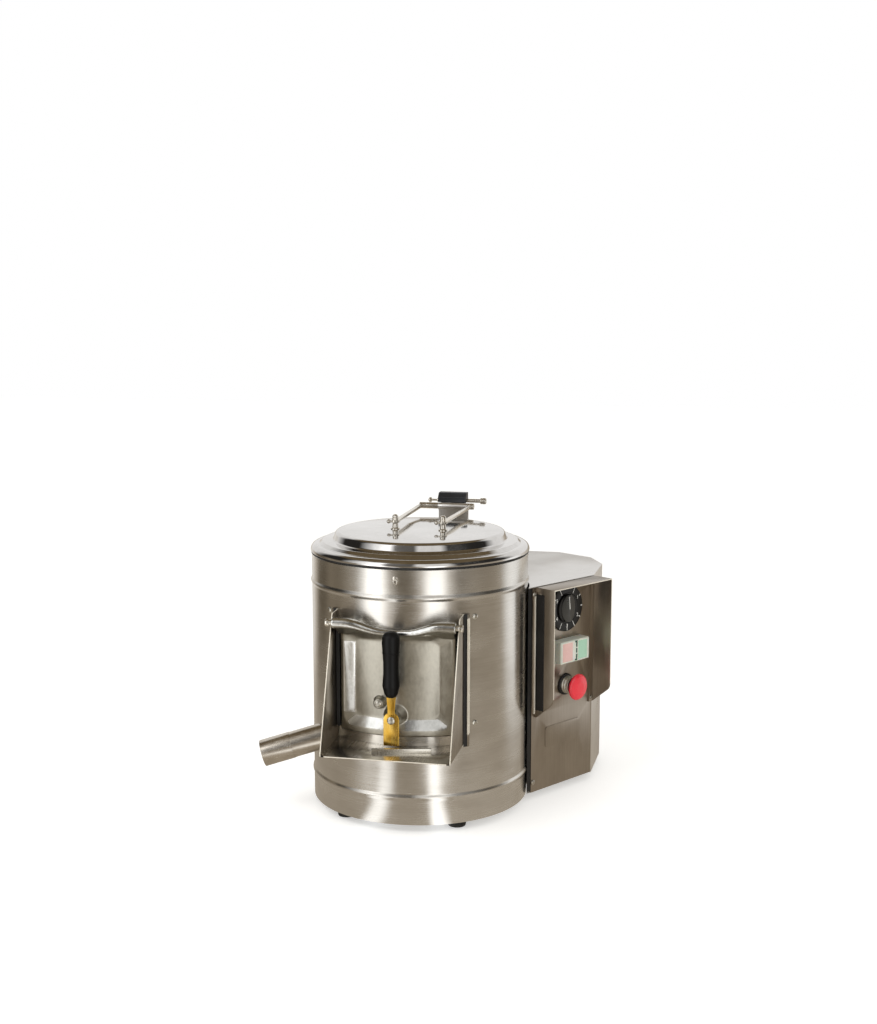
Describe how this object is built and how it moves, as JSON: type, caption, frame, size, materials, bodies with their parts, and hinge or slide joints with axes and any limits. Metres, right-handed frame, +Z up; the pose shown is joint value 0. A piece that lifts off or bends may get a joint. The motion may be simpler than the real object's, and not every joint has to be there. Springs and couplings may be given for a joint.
{
  "type": "electric potato peeler",
  "caption": "Drum peeler with a spinning abrasive disc, hinged lid, cast discharge door with a latch over a chute, drain pipe, and a side motor housing with a timer, switches and stop button.",
  "frame": {"origin": "bottom centre of the whole machine's box, on the table", "axes": "-Y is the front, where the door and chute are; +X is the right; +Z is up. The drum's axis is vertical, left of and in front of the origin."},
  "size_m": [0.495, 0.542, 0.438],
  "materials": {
    "brushed_drum": "circumferentially brushed stainless sheet",
    "satin_sheet": "satin stainless sheet",
    "polished_lid": "polished spun stainless",
    "polished_rod": "polished stainless rod",
    "cast_aluminium": "tumbled and polished casting",
    "brass": "bright brass",
    "black_grip": "moulded phenolic",
    "black_rubber": "moulded rubber",
    "black_plastic": "moulded plastic",
    "liner_steel": "rough liner",
    "abrasive": "bonded grit",
    "cast_disc": "cast, machined",
    "machined_steel": "turned steel",
    "pulley_iron": "cast iron, painted",
    "motor_paint": "enamel",
    "can_aluminium": "drawn can",
    "cream_plastic": "frosted cover",
    "clear_cover": "translucent splash cover",
    "start_green": "moulded",
    "stop_red": "moulded",
    "estop_red": "moulded"
  },
  "bodies": {
    "base": {"outer_shell": "brushed_drum", "base_plate": "satin_sheet", "rubber_feet": "black_rubber", "drum_liner": "liner_steel", "chamber_floor": "satin_sheet", "drain_pipe": "brushed_drum", "water_inlet": "brass", "discharge_chute": "satin_sheet", "chute_seal": "black_rubber", "liner_screws": "polished_rod", "strike_bar": "satin_sheet", "door_pins": "polished_rod", "lid_catch": "polished_rod", "hinge_bracket": "satin_sheet", "safety_switch": "black_plastic", "switch_rod": "polished_rod", "shaft_seal": "black_rubber", "bearing_housing": "pulley_iron", "ball_bearings": "machined_steel", "drive_belt": "black_rubber", "motor_body": "motor_paint", "fan_cover": "black_plastic", "motor_plate": "machined_steel", "run_capacitor": "can_aluminium", "contactor": "black_plastic", "housing_shell": "satin_sheet", "housing_base": "satin_sheet", "edge_strips": "black_rubber", "control_panel": "satin_sheet", "panel_screws": "polished_rod", "control_hood": "satin_sheet", "timer_body": "cream_plastic", "timer_plate": "black_plastic", "switch_block": "black_plastic", "switch_cover": "clear_cover", "estop_collar": "polished_rod", "cable_gland": "black_plastic"},
    "lid": {"lid_shell": "polished_lid", "lid_gasket": "black_rubber", "lid_posts": "polished_rod", "post_pins": "polished_rod", "lid_bail": "polished_rod"},
    "door": {"door_casting": "cast_aluminium", "door_seal": "black_rubber", "latch_screw": "polished_rod"},
    "latch": {"latch_lever": "brass", "latch_handle": "black_grip"},
    "disc": {"peeling_disc": "cast_disc", "abrasive_top": "abrasive", "disc_nut": "polished_rod", "drive_shaft": "machined_steel", "drum_pulley": "pulley_iron"},
    "rotor": {"motor_fan": "black_plastic", "motor_shaft": "machined_steel", "motor_pulley": "pulley_iron"},
    "timer": {"timer_knob": "black_plastic"},
    "start": {"start_button": "start_green"},
    "stop": {"stop_button": "stop_red"},
    "estop_stem": {"estop_plunger": "black_plastic"},
    "estop_cap": {"estop_head": "estop_red"}
  },
  "joints": [
    {"name": "lid_hinge", "type": "hinge", "parent": "base", "child": "lid", "pos_m": [-0.02832, 0.13803, 0.419], "axis": [-1, 0, 0], "range_deg": [0, 100]},
    {"name": "door_hinge", "type": "hinge", "parent": "base", "child": "door", "pos_m": [-0.02832, -0.21397, 0.302], "axis": [-1, 0, 0], "range_deg": [0, 80]},
    {"name": "latch_turn", "type": "hinge", "parent": "door", "child": "latch", "pos_m": [-0.02832, -0.22797, 0.172], "axis": [0, -1, 0], "range_deg": [-34, 34]},
    {"name": "disc_spin", "type": "hinge", "parent": "base", "child": "disc", "pos_m": [-0.02832, -0.04397, 0.1], "axis": [0, 0, 1], "continuous": true},
    {"name": "motor_spin", "type": "hinge", "parent": "base", "child": "rotor", "pos_m": [0.10443, 0.15357, 0.1], "axis": [0, 0, 1], "continuous": true},
    {"name": "timer_turn", "type": "hinge", "parent": "base", "child": "timer", "pos_m": [0.1812, 0.02668, 0.285], "axis": [-0.83, 0.5577, 0], "range_deg": [0, 300]},
    {"name": "start_push", "type": "slide", "parent": "base", "child": "start", "axis": [-0.83, 0.5577, 0], "range_m": [0, 0.003], "stiffness_N_per_m": 600, "springref_m": -0.001},
    {"name": "stop_push", "type": "slide", "parent": "base", "child": "stop", "axis": [-0.83, 0.5577, 0], "range_m": [0, 0.003], "stiffness_N_per_m": 600, "springref_m": -0.001},
    {"name": "estop_push", "type": "slide", "parent": "base", "child": "estop_stem", "axis": [-0.83, 0.5577, 0], "range_m": [0, 0.005], "stiffness_N_per_m": 800, "springref_m": -0.001},
    {"name": "estop_twist", "type": "hinge", "parent": "estop_stem", "child": "estop_cap", "pos_m": [0.18204, 0.02792, 0.1665], "axis": [0.83, -0.5577, 0], "range_deg": [-40, 0]}
  ],
  "couplings": [
    {"joint": "motor_spin", "follows": "disc_spin", "ratio": 4}
  ]
}
